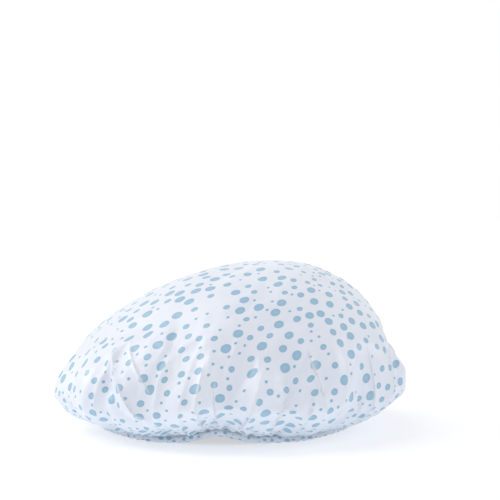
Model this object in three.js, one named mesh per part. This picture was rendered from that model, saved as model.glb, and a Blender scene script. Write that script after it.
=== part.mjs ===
// Shower cap: one sheet of printed film, its edge turned in over an elastic ring and stitched down.
// The elastic draws the edge in, so the film stands up as a puffed crown with folds above the hem.
// Millimetres, +Z up. The cap stands on its hem, and the origin lies under the middle of its footprint.
import * as THREE from "three";

// Crown, as it stands on a table with its elastic slack
const crownWidth = 244; // across the widest ring, side to side
const crownDepth = 232; // across the widest ring, front to back
const crownHeight = 117; // table to the top of the crown
const bulgeHeight = 29; // table to the widest ring
const crownSlump = 32; // how far the top of the crown leans to the right
const topRoundness = 0.62; // how far the top stays level, as a share of the way out to the widest ring
const sideRoundness = 0.31; // how far the side stays upright, as a share of the way up to the top

// Skirt, the film that turns under from the widest ring to the seam
const skirtDrop = 7; // how far the film falls straight down below the widest ring
const skirtReach = 22; // how far out of the seam the film runs before it bends up
const skirtRise = 1; // how far it climbs over that reach

// Folds and gathers
const foldCount = 16;
const foldDepth = 3.4; // a fold's height above or below the smooth film, at the widest ring
const foldTop = 96; // table to where the folds die out on the crown
const foldUnevenness = 0.28; // how much the folds' depth varies round the cap
const gatherDepth = 2; // how far the gathers of the hem stand off the elastic

// Film, elastic and thread
const filmThickness = 0.12;
const elasticWidth = 3;
const elasticThickness = 0.8;
const hemWidth = 170; // across the middle of the elastic, side to side
const hemDepth = 152; // across the middle of the elastic, front to back
const threadDiameter = 0.4;
const tackLength = 8; // sewn stretch where the elastic's ends are joined
const tackWidth = 2;
const tackThickness = 0.4;

// Hem
const clearance = 0.3; // between pieces that lie against each other
const seamDrop = 0.9; // seam above the channel that holds the elastic
const seamLand = 1; // height of the line where the two plies are stitched together
const turnedEdge = 1.8; // free edge of the film above the seam
const threadSeat = 1.2; // seam to the middle of the thread that lies in its groove

// Fineness of the mesh
const stepsPerFold = 5;
const crownRings = 7;
const skirtRings = 4;
const threadSides = 3;

const roundSteps = foldCount * stepsPerFold;
const fullTurn = 2 * Math.PI;
const elasticBottom = filmThickness + clearance;
const elasticTop = elasticBottom + elasticWidth;
const channelTop = elasticTop + clearance;
const seamHeight = channelTop + seamDrop;
const plySpacing = filmThickness + clearance / 2; // outer face of each ply from the seam's middle

// Distance from the axis to an oval of a given width and depth, at one angle round it.
function ovalRadius(width, depth, angle) {
  const a = width / 2;
  const b = depth / 2;
  return (a * b) / Math.hypot(b * Math.cos(angle), a * Math.sin(angle));
}

// Below 0 in the valley between two folds and above 0 on a ridge, at most 1 either way.
// The folds are unevenly spaced round the cap, and deepest at the front left and the back right.
function foldWave(angle) {
  const drift = 0.05 * Math.sin(3 * angle) + 0.03 * Math.sin(5 * angle);
  const depth = 1 - foldUnevenness - foldUnevenness * Math.sin(2 * angle + 2.2);
  return -depth * Math.cos(foldCount * (angle + drift));
}

// Gathers of the hem at one angle: how far each ply stands off the elastic's middle, and the seam's sway.
function hemAt(angle) {
  const slack = elasticThickness / 2 + clearance + filmThickness;
  const wave = foldWave(angle);
  return {
    middle: ovalRadius(hemWidth, hemDepth, angle),
    outer: slack + (gatherDepth * (1 + wave)) / 2,
    inner: slack + (gatherDepth * (1 - wave)) / 2,
    sway: (gatherDepth * wave) / 2,
  };
}

// Normal to the right of the line between two points, as the film's path is walked from top to hem.
function rightNormal(from, to) {
  return new THREE.Vector2(to.y - from.y, from.x - to.x).normalize();
}

// Moves a path to its right by a distance, with mitred corners. The first point stays on the axis.
function offsetPath(path, distance) {
  return path.map((point, i) => {
    if (i === 0) return point.clone().add(new THREE.Vector2(0, -distance));
    const before = rightNormal(path[i - 1], point);
    const after = i < path.length - 1 ? rightNormal(point, path[i + 1]) : before;
    const mitre = before.clone().add(after).divideScalar(1 + before.dot(after));
    return point.clone().addScaledVector(mitre, distance);
  });
}

// The smooth film from the crown's top to the seam at one angle, with each point's share of a fold.
function crownPath(angle, seam) {
  const bulge = ovalRadius(crownWidth, crownDepth, angle);
  const crown = new THREE.CubicBezierCurve(
    new THREE.Vector2(0, crownHeight),
    new THREE.Vector2(topRoundness * bulge, crownHeight),
    new THREE.Vector2(bulge, bulgeHeight + sideRoundness * (crownHeight - bulgeHeight)),
    new THREE.Vector2(bulge, bulgeHeight),
  );
  const skirt = new THREE.CubicBezierCurve(
    new THREE.Vector2(bulge, bulgeHeight),
    new THREE.Vector2(bulge, bulgeHeight - skirtDrop),
    new THREE.Vector2(seam.x + skirtReach, seam.y + skirtRise),
    seam,
  );
  const onCrown = crown.getPoints(crownRings).map((point) => ({
    point,
    share: 1 - THREE.MathUtils.smoothstep(point.y, bulgeHeight, foldTop),
  }));
  const onSkirt = skirt.getPoints(skirtRings).map((point, i) => ({ point, share: 1 - i / skirtRings }));
  return [...onCrown, ...onSkirt.slice(1)];
}

// Outer face of the film at one angle, from the crown's top, round the hem, to the turned edge inside.
function filmPath(angle) {
  const hem = hemAt(angle);
  const seamOut = hem.middle + hem.sway + plySpacing;
  const seamIn = hem.middle + hem.sway - plySpacing;
  const smooth = crownPath(angle, new THREE.Vector2(seamOut, seamHeight + seamLand / 2));
  const wave = foldWave(angle);
  const folded = smooth.map(({ point, share }, i) => {
    const last = smooth.length - 1;
    const inward = rightNormal(smooth[Math.max(i - 1, 0)].point, smooth[Math.min(i + 1, last)].point);
    return point.clone().addScaledVector(inward, -foldDepth * share * wave);
  });
  return [
    ...folded,
    new THREE.Vector2(seamOut, seamHeight - seamLand / 2),
    new THREE.Vector2(hem.middle + hem.outer, channelTop),
    new THREE.Vector2(hem.middle + hem.outer, 0),
    new THREE.Vector2(hem.middle - hem.inner, 0),
    new THREE.Vector2(hem.middle - hem.inner, channelTop),
    new THREE.Vector2(seamIn, seamHeight),
    new THREE.Vector2(seamIn, seamHeight + turnedEdge),
  ];
}

// Sets a section's point, a distance from the axis and a height, at its angle, leaning with the crown.
function setRound(section, angle) {
  const lean = crownSlump * (section.y / crownHeight) ** 2;
  return new THREE.Vector3(section.x * Math.cos(angle) + lean, section.x * Math.sin(angle), section.y);
}

// Skins a closed section, walked clockwise, round the axis. A part turn gets flat ends.
// From turnBack on, a thin section runs back along itself, and its quads split as those they lie against.
function sweepRound(sectionAt, from, to, steps, turnBack = Infinity) {
  const whole = to - from > fullTurn - 1e-6;
  const rows = Array.from({ length: whole ? steps : steps + 1 }, (_, i) => {
    const angle = from + ((to - from) * i) / steps;
    return sectionAt(angle).map((point) => setRound(point, angle));
  });
  const sides = rows[0].length;
  const triangles = [];
  const addTriangle = (a, b, c) => {
    const pinched = a.equals(b) || b.equals(c) || c.equals(a);
    if (!pinched) triangles.push(a, b, c);
  };
  for (let i = 0; i < steps; i++) {
    const row = rows[i];
    const next = rows[(i + 1) % rows.length];
    for (let j = 0; j < sides; j++) {
      const k = (j + 1) % sides;
      addTriangle(row[j], row[k], j < turnBack ? next[k] : next[j]);
      addTriangle(j < turnBack ? row[j] : row[k], next[k], next[j]);
    }
  }
  if (!whole) {
    const first = rows[0];
    const last = rows[steps];
    for (let j = 1; j < sides - 1; j++) {
      addTriangle(first[0], first[j + 1], first[j]);
      addTriangle(last[0], last[j], last[j + 1]);
    }
  }
  return new THREE.BufferGeometry().setFromPoints(triangles);
}

// Film from the crown's top to the turned edge, as a thin closed skin.
function filmGeometry() {
  const sectionAt = (angle) => {
    const outside = filmPath(angle);
    const inside = offsetPath(outside, filmThickness);
    return [...outside, ...inside.reverse()];
  };
  return sweepRound(sectionAt, 0, fullTurn, roundSteps, filmPath(0).length);
}

// A flat band along the hem, between two distances from the elastic's middle and two heights.
function bandGeometry(innerFace, outerFace, bottom, top, from, to, steps) {
  const sectionAt = (angle) => {
    const { middle } = hemAt(angle);
    return [
      new THREE.Vector2(middle + innerFace, bottom),
      new THREE.Vector2(middle + innerFace, top),
      new THREE.Vector2(middle + outerFace, top),
      new THREE.Vector2(middle + outerFace, bottom),
    ];
  };
  return sweepRound(sectionAt, from, to, steps);
}

// Half of the elastic ring, centred on an angle. The halves meet at the front and the back.
function elasticGeometry(middleAngle) {
  const endGap = clearance / hemDepth;
  const half = Math.PI / 2 - endGap;
  const face = elasticThickness / 2;
  const from = middleAngle - half;
  const to = middleAngle + half;
  return bandGeometry(-face, face, elasticBottom, elasticTop, from, to, roundSteps / 2);
}

// Sewn tack on the inner face of the elastic, where its two ends are joined.
function tackGeometry() {
  const outerFace = -elasticThickness / 2 - clearance;
  const innerFace = outerFace - tackThickness;
  const bottom = (elasticBottom + elasticTop - tackWidth) / 2;
  const half = tackLength / hemWidth;
  return bandGeometry(innerFace, outerFace, bottom, bottom + tackWidth, -half, half, 4);
}

// Seam thread that lies along the gathers, outside the hem or inside it.
function threadGeometry(side) {
  const radius = threadDiameter / 2;
  const sectionAt = (angle) => {
    const hem = hemAt(angle);
    const seat = side * (plySpacing + threadSeat);
    const middle = new THREE.Vector2(hem.middle + hem.sway + seat, seamHeight);
    return Array.from({ length: threadSides }, (_, i) => {
      const turn = (-fullTurn * i) / threadSides;
      return new THREE.Vector2(radius * Math.cos(turn), radius * Math.sin(turn)).add(middle);
    });
  };
  return sweepRound(sectionAt, 0, fullTurn, roundSteps);
}

const printedFilm = new THREE.MeshStandardMaterial({ color: 0xeef2f8, roughness: 0.4, metalness: 0 });
const whiteElastic = new THREE.MeshStandardMaterial({ color: 0xf2f1ec, roughness: 0.85, metalness: 0 });
const whiteThread = new THREE.MeshStandardMaterial({ color: 0xf6f6f4, roughness: 0.7, metalness: 0 });

const outside = 1;
const inside = -1;
const cap = new THREE.Group();
const addPiece = (name, geometry, material) => {
  geometry.computeVertexNormals();
  const piece = new THREE.Mesh(geometry, material);
  piece.name = name;
  cap.add(piece);
};
addPiece("crown_film", filmGeometry(), printedFilm);
addPiece("elastic_left", elasticGeometry(Math.PI), whiteElastic);
addPiece("elastic_right", elasticGeometry(0), whiteElastic);
addPiece("elastic_tack", tackGeometry(), whiteThread);
addPiece("hem_needle_thread", threadGeometry(outside), whiteThread);
addPiece("hem_bobbin_thread", threadGeometry(inside), whiteThread);

const footprint = new THREE.Box3().setFromObject(cap).getCenter(new THREE.Vector3());
cap.position.set(-footprint.x, -footprint.y, 0);

export default cap;
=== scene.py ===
import math

import bpy
import numpy as np
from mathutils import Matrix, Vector


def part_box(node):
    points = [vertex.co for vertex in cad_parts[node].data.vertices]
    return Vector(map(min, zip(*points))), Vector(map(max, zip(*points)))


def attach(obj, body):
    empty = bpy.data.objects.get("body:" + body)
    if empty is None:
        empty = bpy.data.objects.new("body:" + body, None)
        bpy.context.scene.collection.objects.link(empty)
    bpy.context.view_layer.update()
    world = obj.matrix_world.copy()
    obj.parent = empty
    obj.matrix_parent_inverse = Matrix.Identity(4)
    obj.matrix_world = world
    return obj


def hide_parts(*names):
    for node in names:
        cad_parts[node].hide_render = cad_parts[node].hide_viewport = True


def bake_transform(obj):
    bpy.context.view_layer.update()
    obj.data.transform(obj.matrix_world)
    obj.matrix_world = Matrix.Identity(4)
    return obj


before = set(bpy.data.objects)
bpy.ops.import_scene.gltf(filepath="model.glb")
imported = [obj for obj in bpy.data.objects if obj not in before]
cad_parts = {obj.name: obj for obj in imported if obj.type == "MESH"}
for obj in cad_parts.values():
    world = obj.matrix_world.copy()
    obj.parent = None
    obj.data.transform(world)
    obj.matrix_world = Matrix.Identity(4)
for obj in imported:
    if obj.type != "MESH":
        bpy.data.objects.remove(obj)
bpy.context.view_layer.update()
print("frame loaded with", len(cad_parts), "solids")


class Wire:
    # one node socket; sums on it add their own nodes, and plain numbers may stand on either side
    def __init__(self, tree, socket=None):
        self.tree = tree
        self.socket = socket

    def node(self, kind, settings=None, values=None, take=0):
        made = self.tree.nodes.new(kind)
        for name, value in (settings or {}).items():
            setattr(made, name, value)
        for name, value in (values or {}).items():
            if isinstance(value, Wire):
                self.tree.links.new(value.socket, made.inputs[name])
            else:
                made.inputs[name].default_value = value
        if isinstance(take, tuple):
            return [Wire(self.tree, made.outputs[name]) for name in take]
        return Wire(self.tree, made.outputs[take]) if len(made.outputs) else made

    def work(self, operation, first, second):
        return self.node("ShaderNodeMath", {"operation": operation}, {0: first, 1: second})

    def __add__(self, other):
        return self.work("ADD", self, other)

    def __radd__(self, other):
        return self.work("ADD", other, self)

    def __sub__(self, other):
        return self.work("SUBTRACT", self, other)

    def __rsub__(self, other):
        return self.work("SUBTRACT", other, self)

    def __mul__(self, other):
        return self.work("MULTIPLY", self, other)

    def __rmul__(self, other):
        return self.work("MULTIPLY", other, self)

    def __truediv__(self, other):
        return self.work("DIVIDE", self, other)

    def __rtruediv__(self, other):
        return self.work("DIVIDE", other, self)

    def under(self, level):
        return self.work("LESS_THAN", self, level)

    def least(self, other):
        return self.work("MINIMUM", self, other)

    def most(self, other):
        return self.work("MAXIMUM", self, other)

    def ease(self, low, high):
        settings = {"interpolation_type": "SMOOTHSTEP"}
        return self.node("ShaderNodeMapRange", settings, {"Value": self, "From Min": low, "From Max": high})

    def tint(self, first, second):
        settings = {"data_type": "RGBA"}
        return self.node("ShaderNodeMix", settings, {0: self, 6: first, 7: second}, 2)


def newMaterial(name):
    material = bpy.data.materials.new(name)
    material.use_nodes = True
    material.node_tree.nodes.clear()
    return material, Wire(material.node_tree)


def newTree(name, sizes):
    # a Geometry Nodes tree with one named input for each size
    tree = bpy.data.node_groups.new(name, "GeometryNodeTree")
    sockets = {}
    tree.interface.new_socket("Geometry", in_out="INPUT", socket_type="NodeSocketGeometry")
    for size in sizes:
        socket = tree.interface.new_socket(size, in_out="INPUT", socket_type="NodeSocketFloat")
        sockets[size] = socket.identifier
    tree.interface.new_socket("Geometry", in_out="OUTPUT", socket_type="NodeSocketGeometry")
    wire = Wire(tree)
    return wire, sockets, wire.node("NodeGroupInput", {}, {}, ("Geometry", *sizes))


def finishTree(wire, geometry, material):
    whole = wire.node("GeometryNodeRealizeInstances", {}, {"Geometry": geometry})
    painted = wire.node("GeometryNodeSetMaterial", {}, {"Geometry": whole, "Material": material})
    wire.node("NodeGroupOutput", {}, {"Geometry": painted})


def runTree(piece, wire, sockets, sizes):
    modifier = piece.modifiers.new(wire.tree.name, "NODES")
    modifier.node_group = wire.tree
    for size, socket in sockets.items():
        modifier[socket] = sizes[size]
    return plainMesh(piece)


def finishMaterial(wire, values):
    shader = wire.node("ShaderNodeBsdfPrincipled", {}, values)
    wire.node("ShaderNodeOutputMaterial", {}, {"Surface": shader})


# film: white plastic sheet printed with scattered pale blue dots
filmFinish = {
    "sheet": (0.855, 0.882, 0.935, 1.0),
    "sheetShade": (0.825, 0.850, 0.915, 1.0),
    "ink": (0.405, 0.600, 0.725, 1.0),
    "inkDeep": (0.285, 0.485, 0.635, 1.0),
    "roughness": 0.31,
    "cloudRough": 0.1,
    "inkGloss": 0.05,  # ink is a little shinier than the sheet
    "foldWhiteAndHighlight": (0.945, 0.970, 1.0, 1.0),  # creased film whitens, and the same colour paints a highlight along the crisp fold crests
    "foldHeight": 0.0009,
    "printEdges": (("nearSpeck", 0.14), ("nearDot", 0.06)),  # how soft a printed edge is
    "cloudScale": 16.0,
    "cloudRange": (0.35, 0.7),
    "rimShare": 0.6,  # ink is darker at a dot's rim
    "rimGrowth": 0.9,
    "creaseScale": 26.0,
    "creaseHeight": 0.0036,
    "creaseStretch": 0.45,  # creases run up and down the sides
    "crinkleScale": 95.0,
    "crinkleHeight": 0.0019,
    "crownCalm": 0.7,  # the crown is drawn smoother than the sides
    "crownRange": (0.045, 0.10),
    "bumpStrength": 0.8,
}


def filmMaterial(name, strength):
    finish = filmFinish
    material, wire = newMaterial(name)
    place = wire.node("ShaderNodeAttribute", {"attribute_name": "printSpace"}, {}, "Vector")
    ink = 0.0
    for attribute, edge in finish["printEdges"]:
        offset = wire.node("ShaderNodeAttribute", {"attribute_name": attribute}, {}, "Vector")
        far = wire.node("ShaderNodeVectorMath", {"operation": "LENGTH"}, {0: offset}, "Value")
        ink = ink + (1.0 - far.ease(1.0 - edge, 1.0 + edge))
    ink = ink.least(1.0) * strength
    mottle = {"Vector": place, "Scale": finish["cloudScale"], "Detail": 2.0}
    cloud = wire.node("ShaderNodeTexNoise", {}, mottle, "Fac")
    sheet = cloud.ease(*finish["cloudRange"]).tint(finish["sheet"], finish["sheetShade"])
    rim = (far * finish["rimGrowth"]).least(1.0)
    depth = rim * finish["rimShare"] + (1.0 - finish["rimShare"]) * cloud
    printed = depth.tint(finish["ink"], finish["inkDeep"])
    fold = wire.node("ShaderNodeAttribute", {"attribute_name": "foldLine"}, {}, "Vector")
    across, strong = wire.node("ShaderNodeSeparateXYZ", {}, {0: fold}, ("X", "Y"))
    crest = 1.0 - across.most(-1.0 * across).least(1.0)
    line = strong * crest * crest  # sharp along the crest
    colour = ink.tint(sheet, printed)
    # the crisp fold crests are painted lighter: partly the whitening of creased film, partly a painted
    # highlight
    colour = line.tint(colour, finish["foldWhiteAndHighlight"])
    ridged = {"noise_type": "RIDGED_MULTIFRACTAL", "normalize": True}
    stretched = (1.0, 1.0, finish["creaseStretch"])
    drawn = wire.node("ShaderNodeMapping", {}, {"Vector": place, "Scale": stretched})
    coarse = {"Vector": drawn, "Scale": finish["creaseScale"], "Detail": 1.5, "Roughness": 0.45}
    crease = wire.node("ShaderNodeTexNoise", ridged, {**coarse, "Distortion": 0.6}, "Fac")
    fine = {"Vector": drawn, "Scale": finish["crinkleScale"], "Detail": 2.5}
    crinkle = wire.node("ShaderNodeTexNoise", {}, fine, "Fac")
    level = wire.node("ShaderNodeSeparateXYZ", {}, {0: place}, "Z")
    slack = 1.0 - finish["crownCalm"] * level.ease(*finish["crownRange"])
    height = crease * finish["creaseHeight"] + crinkle * finish["crinkleHeight"]
    height = height * slack + line * finish["foldHeight"]
    relief = {"Strength": finish["bumpStrength"], "Distance": 1.0, "Height": height}
    bump = wire.node("ShaderNodeBump", {}, relief)
    rough = finish["roughness"] + finish["cloudRough"] * cloud - finish["inkGloss"] * ink
    finishMaterial(wire, {"Base Color": colour, "Roughness": rough, "Normal": bump, "IOR": 1.5})
    return material


filmOutside = filmMaterial("printedFilm", 1.0)
filmInside = filmMaterial("printedFilmInside", 0.55)  # the print shows weaker through the sheet
print("film materials made")


# cap film: crown, skirt and gathered hem in one sheet
capFilm = {
    "rings": 100,
    "crownEnd": 66,  # ring at the widest part
    "skirtEnd": 88,  # ring at the seam
    "crownWidth": 0.244,
    "crownDepth": 0.232,
    "crownHeight": 0.117,
    "bulgeHeight": 0.029,
    "slump": 0.032,
    "topRoundness": 0.62,
    "sideRoundness": 0.31,
    "skirtDrop": 0.007,
    "skirtReach": 0.022,
    "skirtRise": 0.001,
    "hemWidth": 0.170,
    "hemDepth": 0.152,
    "channelTop": 0.00372,
    "seamHeight": 0.00462,
    "seamLand": 0.001,
    "turnedEdge": 0.0018,
    "edgeLean": (0.0001, 0.0003),  # half way up and at the tip
    "channelCorner": 0.0006,
    "channelBulge": 0.0003,
    "plySlack": 0.00082,  # ply to the middle of the elastic where it lies against it
    "plySpacing": 0.00027,
    "gatherDepth": 0.0021,
    "foldCount": 16,
    "foldTop": 0.080,
    "foldUnevenness": 0.28,
    "foldDrift": ((0.05, 3, 0.0), (0.03, 5, 0.0)),  # height, number round the cap and phase of each wave
    "broadFold": 0.0032,
    "mainFold": 0.0015,
    "ridgeCount": 34,
    "ridgeDrift": ((1.1, 5, 0.4), (0.8, 3, 2.0)),
    "ridgeFade": (0.030, 0.095),  # distances from the seam over which the ridges die out
    "ridgeRise": (0.002, 0.014),
    "finePleat": 0.0013,
    "pleatCount": 72,
    "pleatDrift": ((1.6, 7, 0.0), (1.2, 4, 1.0)),
    "pleatUneven": ((0.18, 5, 0.7),),
    "pleatReach": 0.016,
    "pleatRise": (0.0, 0.006),
    "hemLift": 0.0058,  # the hem arches off the table at the front
    "hemLiftAngle": 267.0,
    "hemLiftSpread": 11.0,
    "hemLiftFade": (0.006, 0.045),
    "hemRipple": 0.0005,
    "printFlare": 12.0,
    "thickness": 0.00014,
    "flatSize": 0.440,
    "crestBreadth": 0.0018,
    "crestPower": 1.15,  # lower makes a fold's crest sharper
    "calmReach": 4,  # breadths over which a fold calms the film beside it
    "crestFade": (0.0024, 0.0042),
    "sharpBreadth": 0.0030,  # a narrower fold has a crisp crest
    "foldTips": (0.34, 0.68),  # shares of a fold's length between which it stands full
    "foldGirth": 0.95,  # of the widest part, where the folds lie
    "singleFolds": (  # ring and degrees at both ends, height, breadth
        ((49, 220.0), (75, 248.5), 0.0034, 0.0021),
        ((52, 218), (78, 245), -0.0030, 0.0045),
        ((51, 258.4), (87, 262), 0.0028, 0.0018),
        ((57, 263.2), (77, 268), 0.0020, 0.0018),
        ((48, 225), (64, 246), 0.0014, 0.0016),
        ((44, 186), (80, 189), -0.0018, 0.0130),
        ((46, 205), (80, 206), 0.0018, 0.0080),
        ((43, 226), (80, 222), 0.0052, 0.0075),
        ((46, 245), (82, 247.5), 0.0038, 0.0085),
        ((46, 258), (72, 266), 0.0024, 0.0045),
        ((48, 255), (84, 256.5), -0.0022, 0.0070),
    ),
    "foldsRound": 15,  # more folds of that kind round the rest of the cap
    "foldSpan": (279.0, 530.0),
    "foldSeed": 5,
    "foldStart": (43, 54),  # rings
    "foldStop": (70, 86),
    "foldShift": (-5, 5),  # degrees
    "foldSlant": (-10, 10),
    "foldHeights": (0.0018, 0.0034),
    "foldBreadths": (0.0017, 0.0028),
    "quietAngle": 232.0,  # the single folds stand on a calmer stretch
    "quietSpread": 34.0,
    "quietShare": 0.6,
}
elasticLow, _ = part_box("elastic_left")
_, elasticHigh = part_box("elastic_right")
hemCentre = [(elasticLow[i] + elasticHigh[i]) / 2 for i in (0, 1)]


def ovalRadius(width, depth, angle):
    a, b = width / 2, depth / 2
    return a * b / np.hypot(b * np.cos(angle), a * np.sin(angle))


def bezier(t, points):
    s = 1 - t
    a, b, c, d = points
    return s**3 * a + 3 * s * s * t * b + 3 * s * t * t * c + t**3 * d


def smooth(value, low, high):
    t = np.clip((value - low) / (high - low), 0, 1)
    return t * t * (3 - 2 * t)


def addWaves(start, angle, waves):
    for height, number, phase in waves:
        start = start + height * np.sin(number * angle + phase)
    return start


def pleatWave(angle):  # fine gathers along the hem
    film = capFilm
    drift = addWaves(0, angle, film["pleatDrift"])
    return addWaves(0.82, angle, film["pleatUneven"]) * np.cos(film["pleatCount"] * angle + drift)


def turnFrom(angle, degrees):  # the short way round
    return (angle - math.radians(degrees) + math.pi) % (2 * math.pi) - math.pi


def hemLift(angle):
    film = capFilm
    apart = turnFrom(angle, film["hemLiftAngle"])
    arch = film["hemLift"] * np.exp(-((apart / math.radians(film["hemLiftSpread"])) ** 2))
    return arch + film["hemRipple"] * (1 + np.sin(9 * angle + 0.6 * np.sin(4 * angle)))


def hemStations(angle):
    film = capFilm
    wave = pleatWave(angle)
    middle = ovalRadius(film["hemWidth"], film["hemDepth"], angle)
    out = middle + film["plySlack"] + film["gatherDepth"] * (1 + wave) / 2
    into = middle - film["plySlack"] - film["gatherDepth"] * (1 - wave) / 2
    sway = middle + film["gatherDepth"] * wave / 2
    top, seam, land = film["channelTop"], film["seamHeight"], film["seamLand"] / 2
    gap, edge = film["plySpacing"], film["turnedEdge"]
    corner, bulge = film["channelCorner"], film["channelBulge"]
    halfLean, tipLean = film["edgeLean"]
    return [
        (sway + gap, seam + land),
        (sway + gap, seam - land),
        (out, top),
        (out + bulge, top / 2),
        (out, corner),
        (out - corner, 0.0),
        (into + corner, 0.0),
        (into, corner),
        (into - bulge, top / 2),
        (into, top),
        (sway - gap, seam),
        (sway - gap - halfLean, seam + edge / 2),
        (sway - gap - tipLean, seam + edge),
    ]


def evenRun(points):  # makes equal steps along a curve
    t = np.linspace(0, 1, 300)
    x = bezier(t, [p[0] for p in points])
    z = bezier(t, [p[1] for p in points])
    run = np.concatenate([[0], np.cumsum(np.hypot(np.diff(x), np.diff(z)))])
    return run / run[-1], t, run[-1]


def crownPoints(bulge):
    film = capFilm
    top, wide = film["crownHeight"], film["bulgeHeight"]
    side = wide + film["sideRoundness"] * (top - wide)
    return [(0 * bulge, top), (film["topRoundness"] * bulge, top), (bulge, side), (bulge, wide)]


def skirtPoints(bulge, seamReach, seamTop):
    film = capFilm
    wide = film["bulgeHeight"]
    near = (seamReach + film["skirtReach"], seamTop + film["skirtRise"])
    return [(bulge, wide), (bulge, wide - film["skirtDrop"]), near, (seamReach, seamTop)]


meanBulge = (capFilm["crownWidth"] + capFilm["crownDepth"]) / 4
meanHem = (capFilm["hemWidth"] + capFilm["hemDepth"]) / 4
crownRun = evenRun(crownPoints(meanBulge))
skirtRun = evenRun(skirtPoints(meanBulge, meanHem, capFilm["seamHeight"]))


def smoothSection(step, angle):
    # distance from the axis and height of the unfolded film, at a ring number that may be broken
    film = capFilm
    bulge = ovalRadius(film["crownWidth"], film["crownDepth"], angle)
    stations = hemStations(angle)
    t = np.interp(np.clip(step / film["crownEnd"], 0, 1), crownRun[0], crownRun[1])
    crown = crownPoints(bulge)
    reach = bezier(t, [p[0] for p in crown])
    height = bezier(t, [p[1] for p in crown])
    along = (step - film["crownEnd"]) / (film["skirtEnd"] - film["crownEnd"])
    t = np.interp(np.clip(along, 0, 1), skirtRun[0], skirtRun[1])
    skirt = skirtPoints(bulge, *stations[0])
    onSkirt = step > film["crownEnd"]
    reach = np.where(onSkirt, bezier(t, [p[0] for p in skirt]), reach)
    height = np.where(onSkirt, bezier(t, [p[1] for p in skirt]), height)
    count = len(stations) - 1
    along = np.clip((step - film["skirtEnd"]) * count / (film["rings"] - film["skirtEnd"]), 0, count)
    index = np.minimum(along.astype(int), count - 1)
    share = along - index
    reaches = np.stack([p[0] + 0 * angle for p in stations])
    heights = np.stack([p[1] + 0 * angle for p in stations])
    column = np.arange(len(angle))
    onHem = step > film["skirtEnd"]
    hemReach = reaches[index, column] * (1 - share) + reaches[index + 1, column] * share
    hemHeight = heights[index, column] * (1 - share) + heights[index + 1, column] * share
    return np.where(onHem, hemReach, reach), np.where(onHem, hemHeight, height)


def foldWave(angle):  # the broad folds, unevenly spaced and deepest at the front left
    drift = addWaves(0, angle, capFilm["foldDrift"])
    uneven = capFilm["foldUnevenness"]
    depth = 1 - uneven - uneven * np.sin(2 * angle + 2.2)
    return -depth * np.cos(capFilm["foldCount"] * (angle + drift))


def foldHeight(step, angle):
    # how far the folds stand off the smooth film: broad on the crown, finer towards the hem
    film = capFilm
    toSeam = np.where(
        step < film["crownEnd"],
        skirtRun[2] + crownRun[2] * (1 - step / film["crownEnd"]),
        skirtRun[2] * (film["skirtEnd"] - step) / (film["skirtEnd"] - film["crownEnd"]),
    )
    toSeam = np.maximum(toSeam, 0)
    _, height = smoothSection(step, angle)
    onSkirt = np.clip((film["skirtEnd"] - step) / (film["skirtEnd"] - film["crownEnd"]), 0, 1)
    broad = foldWave(angle) * onSkirt * (1 - smooth(height, film["bulgeHeight"], film["foldTop"]))
    phase = addWaves(film["ridgeCount"] * angle, angle, film["ridgeDrift"])
    ridge = 1.2 - 2.4 * np.abs(np.sin(phase / 2)) ** 0.8  # sharp crests and round hollows
    ridge = ridge * (1 - smooth(toSeam, *film["ridgeFade"])) * smooth(toSeam, *film["ridgeRise"])
    uneven = 0.65 + 0.35 * np.sin(3 * angle + 0.4 * np.sin(7 * angle) + 1.0)
    apart = turnFrom(angle, film["quietAngle"]) / math.radians(film["quietSpread"])
    quiet = np.exp(-(apart**2))
    uneven = uneven * (1 - film["quietShare"] * quiet)
    pleat = pleatWave(angle) * np.exp(-toSeam / film["pleatReach"]) * smooth(toSeam, *film["pleatRise"])
    return film["broadFold"] * broad + film["mainFold"] * ridge * uneven + film["finePleat"] * pleat


def allFolds():  # those seen in the photograph, then others like them at random
    film = capFilm
    folds = list(film["singleFolds"])
    chance = np.random.default_rng(film["foldSeed"])
    for turn in np.linspace(*film["foldSpan"], film["foldsRound"]):
        ring0, ring1 = chance.uniform(*film["foldStart"]), chance.uniform(*film["foldStop"])
        turn = turn + chance.uniform(*film["foldShift"])
        slant = chance.uniform(*film["foldSlant"])
        height, breadth = chance.uniform(*film["foldHeights"]), chance.uniform(*film["foldBreadths"])
        folds.append(((ring0, turn), (ring1, turn + slant), height, breadth))
    return folds


def singleFolds(step, angle):
    # how far they stand, how near each point is to one, and where it lies across a crisp crest
    film = capFilm
    stepLength = crownRun[2] / film["crownEnd"]
    girth = meanBulge * film["foldGirth"]
    fullFrom, fullTo = film["foldTips"]
    stand, near, line = 0 * step, 0 * step, np.zeros((len(step), 3))
    for (ring0, turn0), (ring1, turn1), height, breadth in allFolds():
        across = turnFrom(angle, turn0) * girth
        down = (step - ring0) * stepLength
        endAcross = math.radians(turn1 - turn0) * girth
        endDown = (ring1 - ring0) * stepLength
        length = math.hypot(endAcross, endDown)
        along = (across * endAcross + down * endDown) / length**2
        side = (across * endDown - down * endAcross) / length
        taper = smooth(along, 0.0, fullFrom) * (1 - smooth(along, fullTo, 1.0))
        stand = stand + height * taper * np.exp(-((np.abs(side) / breadth) ** film["crestPower"]))
        near = np.maximum(near, taper * np.exp(-((side / (film["calmReach"] * breadth)) ** 2)))
        if 0 < height and breadth < film["sharpBreadth"]:
            strength = taper * (1 - smooth(np.abs(side), *film["crestFade"]))
            nearest = strength > line[:, 1]
            line[nearest, 0] = side[nearest] / film["crestBreadth"]
            line[nearest, 1] = strength[nearest]
    return stand, near, line


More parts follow.
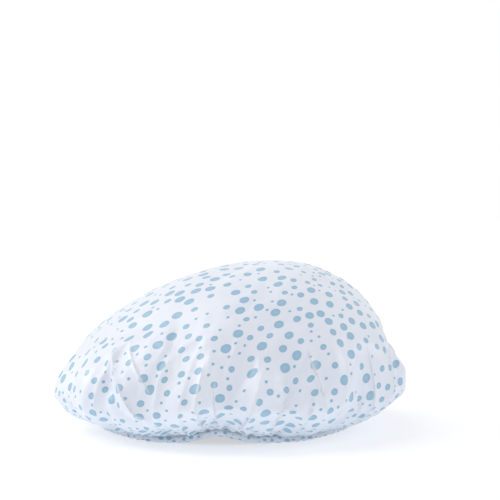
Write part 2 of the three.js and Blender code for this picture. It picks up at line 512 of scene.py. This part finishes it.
def filmPlaces(step, angle):
    film = capFilm
    reach, height = smoothSection(step, angle)
    beforeReach, beforeHeight = smoothSection(np.maximum(step - 0.5, 0), angle)
    afterReach, afterHeight = smoothSection(np.minimum(step + 0.5, film["skirtEnd"]), angle)
    runReach, runHeight = afterReach - beforeReach, afterHeight - beforeHeight
    length = np.maximum(np.hypot(runReach, runHeight), 1e-9)
    stand = np.where(step < film["skirtEnd"], foldHeight(step, angle), 0)
    reach = reach - stand * runHeight / length
    height = height + stand * runReach / length
    lift = hemLift(angle) * (1 - smooth(height, *film["hemLiftFade"]))
    lean = film["slump"] * (height / film["crownHeight"]) ** 2
    x = hemCentre[0] + reach * np.cos(angle) + lean
    y = hemCentre[1] + reach * np.sin(angle)
    return np.stack([x, y, height + lift], 1)


def printPlaces(step, angle):
    # the film before it was drawn in: the same crown, then a widening skirt, so gathers squeeze the print
    film = capFilm
    reach, height = smoothSection(np.minimum(step, film["crownEnd"]), angle)
    below = np.maximum(step - film["crownEnd"], 0) * crownRun[2] / film["crownEnd"]
    reach = reach + film["printFlare"] * below**2
    return np.stack([reach * np.cos(angle), reach * np.sin(angle), height - below], 1)


def discGrid(rings):
    # a square grid wrapped into rings, so its cells stay even from the middle to the edge
    side = np.arange(-rings, rings + 1)
    a, b = [grid.ravel() for grid in np.meshgrid(side, side, indexing="ij")]
    ring = np.maximum(abs(a), abs(b))
    wide = abs(a) >= abs(b)
    quarter = math.pi / 4
    alongA = quarter * b / np.where(a == 0, 1, a)
    alongB = 2 * quarter - quarter * a / np.where(b == 0, 1, b)
    angle = np.where(wide, alongA, alongB) + np.where(np.where(wide, a, b) < 0, math.pi, 0)
    count = 2 * rings + 1
    corner = np.arange(count * count).reshape(count, count)
    faces = np.stack([corner[:-1, :-1], corner[1:, :-1], corner[1:, 1:], corner[:-1, 1:]], -1)
    return ring.astype(float), angle, faces.reshape(-1, 4)


def meshObject(name, places, edges, faces):
    mesh = bpy.data.meshes.new(name)
    mesh.from_pydata([tuple(p) for p in places], edges, [tuple(int(i) for i in f) for f in faces])
    mesh.update()
    piece = bpy.data.objects.new(name, mesh)
    bpy.context.collection.objects.link(piece)
    return piece


def setPlaces(piece, places):
    piece.data.vertices.foreach_set("co", places.astype(np.float32).ravel())
    piece.data.update()


def plainMesh(piece):  # keeps what the modifiers make and drops the modifiers
    graph = bpy.context.evaluated_depsgraph_get()
    mesh = bpy.data.meshes.new_from_object(piece.evaluated_get(graph), depsgraph=graph)
    piece.modifiers.clear()
    piece.data = mesh
    return piece


# print: large and middling dots with small specks between them, placed on the film before it is drawn in
filmPrint = {
    "dotSpacing": 0.0084,
    "speckSpacing": 0.0056,
    "largeDot": 0.0032,
    "smallDot": 0.0021,
    "speck": 0.0010,
    "margin": 0.0020,  # bare film kept between a dot and a speck
}
printChance = {
    "dotCrowd": 21000.0,  # most points to a square metre
    "speckCrowd": 26000.0,
    "dotSeed": 3,
    "speckSeed": 5,
    "sizeSeed": 7,
    "sizeSpread": (0.32, 0.72),
}


def printTree():
    sizes = list(filmPrint)
    wire, sockets, given = newTree("printedDots", sizes)
    film, dotSpacing, speckSpacing, largeDot, smallDot, speck, margin = given
    chances = printChance
    at = wire.node("GeometryNodeInputPosition")
    scatter = {"distribute_method": "POISSON"}

    def scattered(spacing, crowd, seed):
        values = {"Mesh": film, "Distance Min": spacing, "Density Max": crowd, "Seed": seed}
        return wire.node("GeometryNodeDistributePointsOnFaces", scatter, values, "Points")

    def nearest(points):
        return wire.node("GeometryNodeSampleNearest", {}, {"Geometry": points, "Sample Position": at})

    def sampled(points, kind, value, index):
        values = {"Geometry": points, "Value": value, "Index": index}
        return wire.node("GeometryNodeSampleIndex", {"data_type": kind}, values)

    dots = scattered(dotSpacing, chances["dotCrowd"], chances["dotSeed"])
    chance = wire.node("FunctionNodeRandomValue", {}, {"Seed": chances["sizeSeed"]}, 1)
    radius = smallDot + (largeDot - smallDot) * chance.ease(*chances["sizeSpread"])
    specks = scattered(speckSpacing, chances["speckCrowd"], chances["speckSeed"])
    toDot = wire.node("GeometryNodeProximity", {"target_element": "POINTS"}, {0: dots}, "Distance")
    crowded = toDot.under(sampled(dots, "FLOAT", radius, nearest(dots)) + speck + margin)
    values = {"Geometry": specks, "Selection": crowded}
    specks = wire.node("GeometryNodeDeleteGeometry", {"domain": "POINT"}, values)
    geometry = film
    for name, points, size in (("nearDot", dots, radius), ("nearSpeck", specks, speck)):
        onFace = {"data_type": "INT", "domain": "FACE"}  # a face keeps to one dot
        index = wire.node("GeometryNodeFieldOnDomain", onFace, {0: nearest(points)})
        centre = sampled(points, "FLOAT_VECTOR", at, index)
        offset = wire.node("ShaderNodeVectorMath", {"operation": "SUBTRACT"}, {0: at, 1: centre})
        share = 1.0 / sampled(points, "FLOAT", size, index)
        offset = wire.node("ShaderNodeVectorMath", {"operation": "SCALE"}, {0: offset, "Scale": share})
        store = {"data_type": "FLOAT_VECTOR", "domain": "CORNER"}
        values = {"Geometry": geometry, "Name": name, "Value": offset}
        geometry = wire.node("GeometryNodeStoreNamedAttribute", store, values)
    finishTree(wire, geometry, filmOutside)
    return wire, sockets


# settling: the film wrinkles under its own slack while the hem is held
filmSettle = {
    "frames": 18,
    "quality": 5,
    "pointMass": 0.02,
    "tension": 18.0,
    "shear": 9.0,
    "bending": 0.6,
    "gravity": 0.05,
    "heldRings": 3,  # above the seam
    "airDrag": 6.0,
    "growth": 0.036,  # spare film that the settling turns into wrinkles
    "pressure": 0.3,
    "moveLimit": 0.006,
    "foldCalm": 0.7,  # less wrinkling beside the single folds
    "crownShare": 0.35,  # the crown stays smoother than the sides
    "crownRange": (0.045, 0.088),
    "poleRings": (2.0, 12.0),  # and its middle stays as it is
}


def settleFilm(piece, places, step, angle):
    settle = filmSettle
    held = piece.vertex_groups.new(name="held")
    for index in np.nonzero(step >= capFilm["skirtEnd"] - settle["heldRings"])[0]:
        held.add([int(index)], 1.0, "REPLACE")
    cloth = piece.modifiers.new("settle", "CLOTH")
    sheet = cloth.settings
    sheet.quality = settle["quality"]
    sheet.mass = settle["pointMass"]
    sheet.tension_stiffness = settle["tension"]
    sheet.compression_stiffness = settle["tension"]
    sheet.shear_stiffness = settle["shear"]
    sheet.bending_stiffness = settle["bending"]
    sheet.air_damping = settle["airDrag"]
    sheet.vertex_group_mass = "held"
    sheet.shrink_min = -settle["growth"]
    sheet.use_pressure = True
    sheet.uniform_pressure_force = settle["pressure"]
    sheet.effector_weights.gravity = settle["gravity"]
    cloth.collision_settings.use_collision = False
    cloth.point_cache.frame_start = 1
    cloth.point_cache.frame_end = settle["frames"]
    scene = bpy.context.scene
    for number in range(1, settle["frames"] + 1):
        scene.frame_set(number)
    graph = bpy.context.evaluated_depsgraph_get()
    settled = piece.evaluated_get(graph).data
    found = np.empty(len(settled.vertices) * 3, np.float32)
    settled.vertices.foreach_get("co", found)
    move = found.reshape(-1, 3) - places
    normals = np.empty(len(places) * 3, np.float32)
    piece.data.vertices.foreach_get("normal", normals)
    normals = normals.reshape(-1, 3)
    swell = (move * normals).sum(1)
    for ring in range(capFilm["rings"]):  # the cap keeps its size
        on = step == ring
        move[on] -= normals[on] * swell[on].mean()
    far = np.linalg.norm(move, axis=1, keepdims=True)
    limit = settle["moveLimit"]
    move = move * np.tanh(far / limit) * limit / np.maximum(far, 1e-9)
    calm = smooth(places[:, 2:], *settle["crownRange"])
    move = move * (1 - (1 - settle["crownShare"]) * calm)
    move = move * smooth(step, *settle["poleRings"])[:, None]
    stand, near, _ = singleFolds(step, angle)
    move = move * (1 - settle["foldCalm"] * near)[:, None] + normals * stand[:, None]
    piece.modifiers.remove(cloth)
    scene.frame_set(1)
    print("film settled, mean move", round(float(far.mean()) * 1000, 2), "mm")
    return places + move


def makeFilm():
    film = capFilm
    step, angle, faces = discGrid(film["rings"])
    uncut = printPlaces(step, angle)
    piece = meshObject("capFilm", uncut, [], faces)
    attribute = piece.data.attributes.new("printSpace", "FLOAT_VECTOR", "POINT")
    attribute.data.foreach_set("vector", uncut.astype(np.float32).ravel())
    attribute = piece.data.attributes.new("foldLine", "FLOAT_VECTOR", "POINT")
    attribute.data.foreach_set("vector", singleFolds(step, angle)[2].astype(np.float32).ravel())
    piece.data.materials.append(filmOutside)
    runTree(piece, *printTree(), filmPrint)
    places = filmPlaces(step, angle)
    setPlaces(piece, places)
    places = settleFilm(piece, places, step, angle)
    places[:, 2] = np.maximum(places[:, 2], 0.0)
    setPlaces(piece, places)
    piece.data.polygons.foreach_set("use_smooth", [True] * len(faces))
    piece.data.materials.append(filmInside)
    piece.vertex_groups.clear()
    wall = piece.modifiers.new("thickness", "SOLIDIFY")
    wall.thickness = film["thickness"]
    wall.offset = -1.0
    wall.material_offset = 1
    plainMesh(piece)
    print("film made:", len(piece.data.polygons), "faces")
    return piece


# seam thread: separate stitches along the gathers, outside and inside the hem
seamThread = {
    "stitch": 0.0027,
    "sizeSpread": (0.88, 1.08),
    "seed": 11,
    "beadSides": 6,
    "pitch": 0.0033,
    "radius": 0.00021,
    "seat": 0.00045,  # from the ply to the middle of the thread
    "colour": (0.86, 0.87, 0.88, 1.0),
    "shade": (0.74, 0.75, 0.77, 1.0),
    "twistScale": 900.0,
    "fuzzScale": 1500.0,
    "relief": 0.00005,
    "innerStation": 10,  # of the hem's section, where the inside thread lies
    "steps": 1440,
}


def threadMaterial():
    look = seamThread
    material, wire = newMaterial("seamThread")
    place = wire.node("ShaderNodeTexCoord", {}, {}, "Object")
    settings = {"wave_type": "BANDS", "bands_direction": "DIAGONAL"}
    strand = {"Vector": place, "Scale": look["twistScale"], "Distortion": 1.0}
    twist = wire.node("ShaderNodeTexWave", settings, strand, "Fac")
    fibre = {"Vector": place, "Scale": look["fuzzScale"], "Detail": 2.0}
    fuzz = wire.node("ShaderNodeTexNoise", {}, fibre, "Fac")
    colour = (twist * 0.6 + fuzz * 0.4).tint(look["shade"], look["colour"])
    height = (twist + 0.5 * fuzz) * look["relief"]
    bump = wire.node("ShaderNodeBump", {}, {"Strength": 0.7, "Distance": 1.0, "Height": height})
    values = {"Base Color": colour, "Roughness": 0.55 + 0.2 * fuzz, "Normal": bump}
    finishMaterial(wire, values)
    return material


def stitchTree(material):
    wire, sockets, given = newTree("seamStitches", ("stitch", "pitch", "radius"))
    seam, stitch, pitch, radius = given
    path = wire.node("GeometryNodeMeshToCurve", {}, {"Mesh": seam})
    spread, outputs = {"Curve": path, "Length": pitch}, ("Points", "Rotation")
    points, turn = wire.node("GeometryNodeCurveToPoints", {"mode": "LENGTH"}, spread, outputs)
    sides = seamThread["beadSides"]
    bead = wire.node("GeometryNodeMeshUVSphere", {}, {"Segments": sides, "Rings": sides, "Radius": 1.0})
    least, most = seamThread["sizeSpread"]
    vary = wire.node("FunctionNodeRandomValue", {}, {2: least, 3: most, "Seed": seamThread["seed"]}, 1)
    scales = {"X": radius * vary, "Y": radius * vary, "Z": stitch * 0.5 * vary}
    shape = wire.node("ShaderNodeCombineXYZ", {}, scales)
    values = {"Points": points, "Instance": bead, "Rotation": turn, "Scale": shape}
    row = wire.node("GeometryNodeInstanceOnPoints", {}, values)
    smoothRow = wire.node("GeometryNodeSetShadeSmooth", {}, {"Geometry": row})
    finishTree(wire, smoothRow, material)
    return wire, sockets


def makeStitches(name, side, tree):
    thread = seamThread
    angle = np.linspace(0, 2 * math.pi, thread["steps"], endpoint=False)
    stations = hemStations(angle)
    outer = (stations[0][0], capFilm["seamHeight"])
    reach, height = outer if side > 0 else stations[thread["innerStation"]]
    reach = reach + side * thread["seat"]
    x, y = hemCentre[0] + reach * np.cos(angle), hemCentre[1] + reach * np.sin(angle)
    places = np.stack([x, y, height + hemLift(angle)], 1)
    count = thread["steps"]
    piece = meshObject(name, places, [(i, (i + 1) % count) for i in range(count)], [])
    runTree(piece, *tree, thread)
    print(name, "made:", len(piece.data.polygons), "faces")
    return piece


# elastic: one narrow covered band inside the hem
hemElastic = {
    "width": 0.0030,
    "thickness": 0.0008,
    "bottom": 0.00042,
    "steps": 360,
    "sides": 12,
    "colour": (0.80, 0.79, 0.76, 1.0),
    "shade": (0.60, 0.59, 0.57, 1.0),
    "ribPitch": 0.0011,
    "yarnPitch": 0.0004,
    "relief": 0.00012,
    "squareness": 0.35,  # squares the oval section
}
bandScale = 0.314  # wave texture's scale for bands one metre apart


def elasticMaterial():
    elastic = hemElastic
    material, wire = newMaterial("coveredElastic")
    along = wire.node("ShaderNodeUVMap", {"uv_map": "alongBand"}, {}, "UV")
    settings = {"wave_type": "BANDS", "bands_direction": "X"}
    ribs = {"Vector": along, "Scale": bandScale / elastic["ribPitch"], "Distortion": 0.6}
    rib = wire.node("ShaderNodeTexWave", settings, ribs, "Fac")
    yarn = {"Vector": along, "Scale": bandScale / elastic["yarnPitch"], "Distortion": 0.4}
    warp = wire.node("ShaderNodeTexWave", {"wave_type": "BANDS", "bands_direction": "Y"}, yarn, "Fac")
    weave = 0.65 * rib + 0.35 * warp
    colour = weave.tint(elastic["shade"], elastic["colour"])
    raised = {"Strength": 0.8, "Distance": 1.0, "Height": weave * elastic["relief"]}
    bump = wire.node("ShaderNodeBump", {}, raised)
    finishMaterial(wire, {"Base Color": colour, "Roughness": 0.85 - 0.1 * weave, "Normal": bump})
    return material


def makeElastic():
    elastic = hemElastic
    turn = np.linspace(0, 2 * math.pi, elastic["steps"], endpoint=False)
    corner = np.linspace(0, 2 * math.pi, elastic["sides"], endpoint=False)
    power = elastic["squareness"]
    flat = np.sign(np.cos(corner)) * np.abs(np.cos(corner)) ** power * elastic["thickness"] / 2
    tall = np.sign(np.sin(corner)) * np.abs(np.sin(corner)) ** power * elastic["width"] / 2
    angle, across = np.repeat(turn, len(corner)), np.tile(flat, len(turn))
    reach = ovalRadius(capFilm["hemWidth"], capFilm["hemDepth"], angle) + across
    height = elastic["bottom"] + elastic["width"] / 2 + np.tile(tall, len(turn)) + hemLift(angle)
    x, y = hemCentre[0] + reach * np.cos(angle), hemCentre[1] + reach * np.sin(angle)
    sides, rows = len(corner), len(turn)
    faces = []
    for i in range(rows):
        for j in range(sides):
            k, n = (j + 1) % sides, (i + 1) % rows
            faces.append((i * sides + j, n * sides + j, n * sides + k, i * sides + k))
    piece = meshObject("hemElastic", np.stack([x, y, height], 1), [], faces)
    band = piece.data.uv_layers.new(name="alongBand")
    length = 2 * math.pi * meanHem
    girth = 2 * (elastic["width"] + elastic["thickness"])
    for face in piece.data.polygons:
        for loop, (di, dj) in zip(face.loop_indices, ((0, 0), (1, 0), (1, 1), (0, 1))):
            i, j = divmod(face.index, sides)
            band.data[loop].uv = ((i + di) / rows * length, (j + dj) / sides * girth)
    piece.data.polygons.foreach_set("use_smooth", [True] * len(faces))
    piece.data.materials.append(elasticMaterial())
    print("elastic made:", len(faces), "faces")
    return piece


# tack: zigzag thread that joins the elastic's two ends
elasticTack = {
    "length": 0.0078,
    "width": 0.0019,
    "turns": 9,
    "turnSteps": 8,
    "turnPoint": 0.97,  # 1 makes each turn a sharp point
    "radius": 0.00018,
    "stand": 0.00085,
}


def tackTree(material):
    wire, sockets, given = newTree("zigzagThread", ("radius",))
    zigzag, radius = given
    path = wire.node("GeometryNodeMeshToCurve", {}, {"Mesh": zigzag})
    ring = wire.node("GeometryNodeCurvePrimitiveCircle", {}, {"Resolution": 8, "Radius": radius})
    strand = {"Curve": path, "Profile Curve": ring, "Fill Caps": True}
    finishTree(wire, wire.node("GeometryNodeCurveToMesh", {}, strand), material)
    return wire, sockets


def makeTack(material):
    tack = elasticTack
    count = tack["turns"] * tack["turnSteps"]
    t = np.linspace(-1, 1, count + 1)
    swing = 2 / math.pi * np.arcsin(np.sin(math.pi * tack["turns"] * (t + 1)) * tack["turnPoint"])
    angle = t * tack["length"] / capFilm["hemWidth"]
    reach = ovalRadius(capFilm["hemWidth"], capFilm["hemDepth"], angle) - tack["stand"]
    height = hemElastic["bottom"] + hemElastic["width"] / 2 + swing * tack["width"] / 2 + hemLift(angle)
    x, y = hemCentre[0] + reach * np.cos(angle), hemCentre[1] + reach * np.sin(angle)
    places = np.stack([x, y, height], 1)
    piece = meshObject("elasticTack", places, [(i, i + 1) for i in range(count)], [])
    runTree(piece, *tackTree(material), tack)
    print("tack made:", len(piece.data.polygons), "faces")
    return piece


thread = threadMaterial()
film = makeFilm()
seamTree = stitchTree(thread)
needleStitches = makeStitches("needleStitches", 1, seamTree)
bobbinStitches = makeStitches("bobbinStitches", -1, seamTree)
elastic = makeElastic()
tack = makeTack(thread)

# everything that crosses the hem's stretch bends alike, so nothing parts
for piece in (film, needleStitches, bobbinStitches, elastic):
    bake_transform(piece)
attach(tack, "hem_right")
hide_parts("crown_film")
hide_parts("hem_needle_thread")
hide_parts("hem_bobbin_thread")
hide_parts("elastic_left", "elastic_right")
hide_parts("elastic_tack")
print("pieces set on their bodies")


# studio: white sweep, wide overhead light a little from the left, soft fill
studio = {
    "floorHalf": 30.0,
    "floorColour": (0.80, 0.80, 0.81, 1.0),
    "floorFill": 0.355,  # a lit table top
    "fillColour": (0.84, 0.93, 1.0, 1.0),
    "floorShown": (0.60, 0.60, 0.61, 1.0),  # the camera sees a weaker shadow over a white glow
    "floorGlow": 0.51,
    "skyColour": (0.92, 0.94, 1.0, 1.0),
    "skyLight": 0.56,
    "lamps": (  # light, spread in degrees, direction it comes from
        ("overheadLight", 1.08, 50.0, (-0.65, 0.05, 1.0)),
        ("sideLight", 0.49, 20.0, (-1.0, 0.30, 0.45)),
        ("farLight", 0.46, 25.0, (1.0, 0.05, 0.55)),
    ),
}


def directlySeen(wire):  # by the camera, in a reflection or through a clear piece
    rays = ("Is Camera Ray", "Is Glossy Ray", "Is Transmission Ray")
    camera, glossy, through = wire.node("ShaderNodeLightPath", {}, {}, rays)
    return camera.most(glossy).most(through)


def makeFloor():
    half = studio["floorHalf"]
    corners = [(-half, -half, 0), (half, -half, 0), (half, half, 0), (-half, half, 0)]
    floor = meshObject("floor", corners, [], [(0, 1, 2, 3)])
    material, wire = newMaterial("whiteFloor")
    matte = wire.node("ShaderNodeBsdfDiffuse", {}, {"Color": studio["floorColour"]})
    bounce = {"Color": studio["fillColour"], "Strength": studio["floorFill"]}
    fill = wire.node("ShaderNodeEmission", {}, bounce)
    table = wire.node("ShaderNodeAddShader", {}, {0: matte, 1: fill})
    pale = wire.node("ShaderNodeBsdfDiffuse", {}, {"Color": studio["floorShown"]})
    glow = wire.node("ShaderNodeEmission", {}, {"Strength": studio["floorGlow"]})
    bright = wire.node("ShaderNodeAddShader", {}, {0: pale, 1: glow})
    both = wire.node("ShaderNodeMixShader", {}, {0: directlySeen(wire), 1: table, 2: bright})
    wire.node("ShaderNodeOutputMaterial", {}, {"Surface": both})
    floor.data.materials.append(material)


def makeSky():
    world = bpy.data.worlds.new("studioSky")
    world.use_nodes = True
    world.node_tree.nodes.clear()
    wire = Wire(world.node_tree)
    white = wire.node("ShaderNodeBackground", {}, {"Color": (1.0, 1.0, 1.0, 1.0), "Strength": 1.0})
    lit = {"Color": studio["skyColour"], "Strength": studio["skyLight"]}
    soft = wire.node("ShaderNodeBackground", {}, lit)
    both = wire.node("ShaderNodeMixShader", {}, {0: directlySeen(wire), 1: soft, 2: white})
    wire.node("ShaderNodeOutputWorld", {}, {"Surface": both})
    bpy.context.scene.world = world


def makeLamps():
    for name, light, spread, source in studio["lamps"]:
        lamp = bpy.data.lights.new(name, "SUN")
        lamp.energy = light
        lamp.angle = math.radians(spread)
        holder = bpy.data.objects.new(name, lamp)
        holder.rotation_mode = "QUATERNION"
        holder.rotation_quaternion = (-Vector(source)).to_track_quat("-Z", "Y")
        bpy.context.collection.objects.link(holder)


makeFloor()
makeSky()
makeLamps()
print("studio lit")

# camera: the photograph's viewing angle
shot = {"place": (-0.0024, -0.8371, 0.1476), "aim": (0.0149, 0.0124, 0.1239), "lens": 85.0}
camera = bpy.data.objects.new("camera", bpy.data.cameras.new("camera"))
camera.data.lens = shot["lens"]
camera.data.sensor_width = 36.0
camera.location = shot["place"]
camera.rotation_mode = "QUATERNION"
camera.rotation_quaternion = (Vector(shot["aim"]) - Vector(shot["place"])).to_track_quat("-Z", "Y")
bpy.context.collection.objects.link(camera)
bpy.context.scene.camera = camera
bpy.context.scene.view_settings.view_transform = "Standard"
print("camera set")
